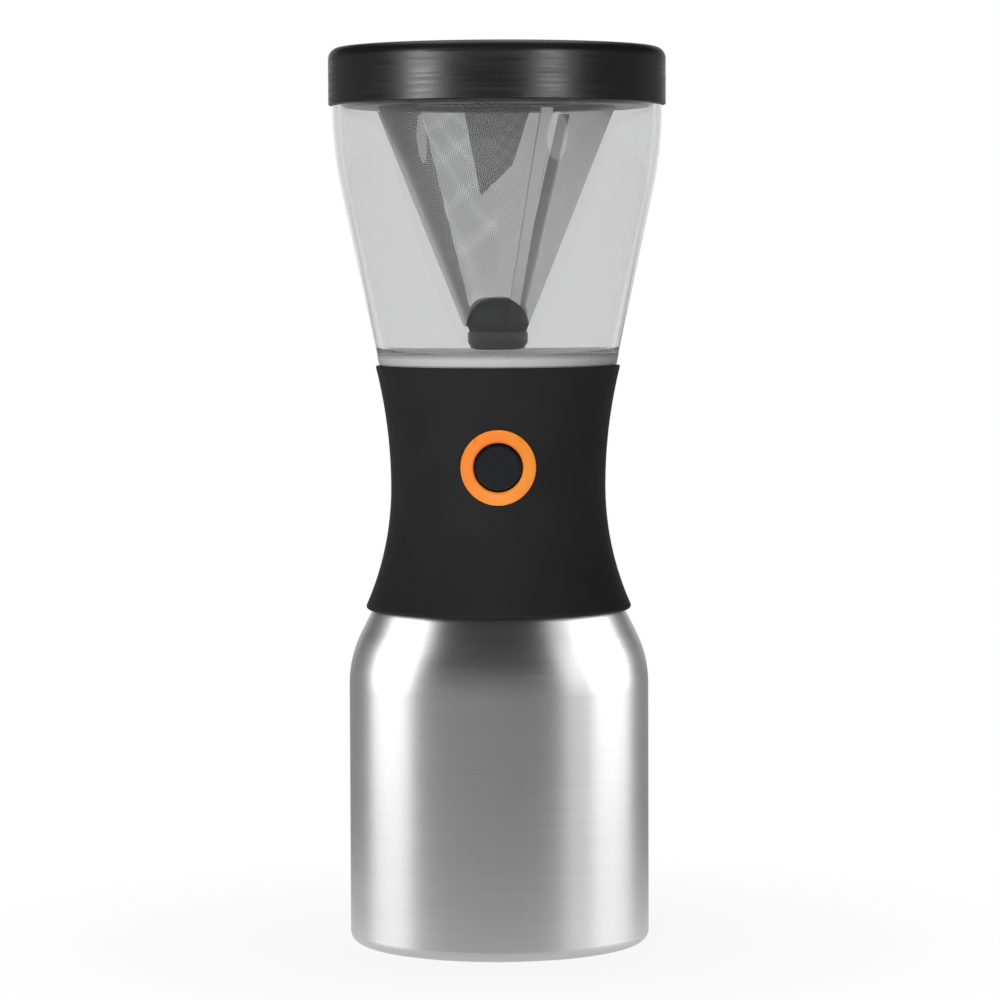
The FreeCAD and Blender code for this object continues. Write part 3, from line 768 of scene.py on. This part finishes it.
# %% World
def studio_world():
    world = bpy.data.worlds.new("studio")
    world.use_nodes = True
    tree = world.node_tree
    fill = tree.nodes["Background"]
    room = tree.nodes.new("ShaderNodeValToRGB")
    room.color_ramp.elements[0].position = 0.0
    room.color_ramp.elements[0].color = (0.30, 0.30, 0.30, 1.0)
    room.color_ramp.elements[1].position = 0.32
    room.color_ramp.elements[1].color = (0.04, 0.04, 0.04, 1.0)
    white = tree.nodes.new("ShaderNodeBackground")
    white.inputs["Color"].default_value = (1.0, 1.0, 1.0, 1.0)
    place = tree.nodes.new("ShaderNodeTexCoord")
    apart = tree.nodes.new("ShaderNodeSeparateXYZ")
    rays = tree.nodes.new("ShaderNodeLightPath")
    tree.links.new(place.outputs["Generated"], apart.inputs["Vector"])
    tree.links.new(apart.outputs["Z"], room.inputs["Fac"])
    tree.links.new(room.outputs["Color"], fill.inputs["Color"])
    # Y is 1 straight behind the object, and the backdrop fades in near that direction.
    backdrop = map_range(tree, apart.outputs["Y"], 0.88, 0.97)
    shiny = combine(tree, "MULTIPLY", backdrop, rays.outputs["Is Glossy Ray"])
    white_seen = combine(tree, "MAXIMUM", shiny, seen_white(tree))
    both = mix_shaders(tree, white_seen, fill.outputs["Background"], white.outputs["Background"])
    tree.links.new(both, tree.nodes["World Output"].inputs["Surface"])
    return world


bpy.context.scene.world = studio_world()
print("world", bpy.context.scene.world.name)

# %% [markdown]
# A tall soft box on each side shows in the steel as a bright band, and broad ones in
# front and behind light colours evenly. No one light suits every surface, so some lamps
# are kept to some pieces, as flags and cards do in a studio: the tall boxes to the
# steel, two short ones to the lid and filter, two small patches to the vessel, and a
# key to the orange ring.

# %% Soft boxes
lamp_target = Vector((0, 0, 0.17))


def soft_box(name, azimuth, height, distance, width, tall, power, shows=True):
    """A lamp at an azimuth in degrees from the front. It shows in gloss, or lights colour.

    No lamp shows through the clear pieces, which see the white backdrop instead.
    """
    data = bpy.data.lights.new(name, "AREA")
    data.shape = "RECTANGLE"
    data.size = width
    data.size_y = tall
    data.energy = power
    lamp = bpy.data.objects.new(name, data)
    lamp.visible_glossy = shows
    lamp.visible_diffuse = not shows
    lamp.visible_transmission = False
    angle = math.radians(azimuth)
    lamp.location = (distance * math.sin(angle), -distance * math.cos(angle), height)
    aim = lamp_target - lamp.location
    lamp.rotation_euler = aim.to_track_quat("-Z", "Y").to_euler()
    bpy.context.collection.objects.link(lamp)
    return lamp


def light_only(name, lamps, pieces):
    """Keeps lamps to a few pieces, and leaves the other pieces out of their light."""
    group = bpy.data.collections.new(name)
    for piece in pieces:
        group.objects.link(piece)
    for lamp in lamps:
        lamp.light_linking.receiver_collection = group


steel_lamps = (
    soft_box("left_box", -91, 0.35, 1.0, 0.80, 1.3, 11.0),
    soft_box("right_box", 95, 0.35, 1.0, 0.85, 1.3, 11.5),
    soft_box("right_edge", 58, 0.35, 1.0, 0.30, 1.3, 2.0),
)
lid_lamps = (
    soft_box("lid_left", -50, 0.36, 1.0, 0.28, 0.3, 4.6),
    soft_box("lid_right", 36, 0.36, 1.0, 0.24, 0.3, 3.1),
)
vessel_lamps = (
    soft_box("vessel_left", -52, 0.21, 0.7, 0.09, 0.17, 0.14),
    soft_box("vessel_right", 41, 0.21, 0.7, 0.18, 0.17, 0.25),
)
for lamp in vessel_lamps:
    lamp.data.shape = "ELLIPSE"
ring_lamps = (soft_box("ring_key", 10, 0.3, 1.0, 0.4, 0.4, 3.0, shows=False),)
soft_box("front_fill", -18, 0.8, 1.8, 1.6, 1.2, 22.0, shows=False)
soft_box("back_fill", 180, 1.2, 1.5, 1.6, 1.2, 12.0, shows=False)
soft_box("top_box", 180, 1.4, 0.5, 0.9, 0.9, 4.0)

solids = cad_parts
steel_pieces = [solids[node] for node in FINISHES[steel]] + [mouth_thread]
filter_pieces = [solids["filter_ring"], solids["filter_seams"], weave, lap, shade_tongue, rim]
light_only("steel_lit", steel_lamps, steel_pieces)
light_only("vessel_lit", vessel_lamps, [solids["vessel"]])
light_only("ring_lit", ring_lamps, [ring])
light_only("lid_lit", lid_lamps, [solids["lid_cap"], *filter_pieces])

# %% [markdown]
# The camera stands a metre and a half in front, a little above the middle, and looks
# slightly down, which is how the photograph shows the rims as flat curves.

# %% Camera
camera_x = 0.0006
camera_roll = math.radians(-0.2)
camera_data = bpy.data.cameras.new("camera")
camera_data.lens = 148.7
camera_data.sensor_width = 36.0
camera = bpy.data.objects.new("camera", camera_data)
camera.location = (camera_x, -1.524, 0.2528)
aim = Vector((camera_x, 0, 0.1634)) - camera.location
tilt = aim.to_track_quat("-Z", "Y").to_matrix().to_4x4()
camera.rotation_euler = (tilt @ Matrix.Rotation(camera_roll, 4, "Z")).to_euler()
bpy.context.collection.objects.link(camera)
bpy.context.scene.camera = camera
bpy.context.scene.view_settings.view_transform = "Standard"
print("camera", [round(number, 3) for number in camera.location])
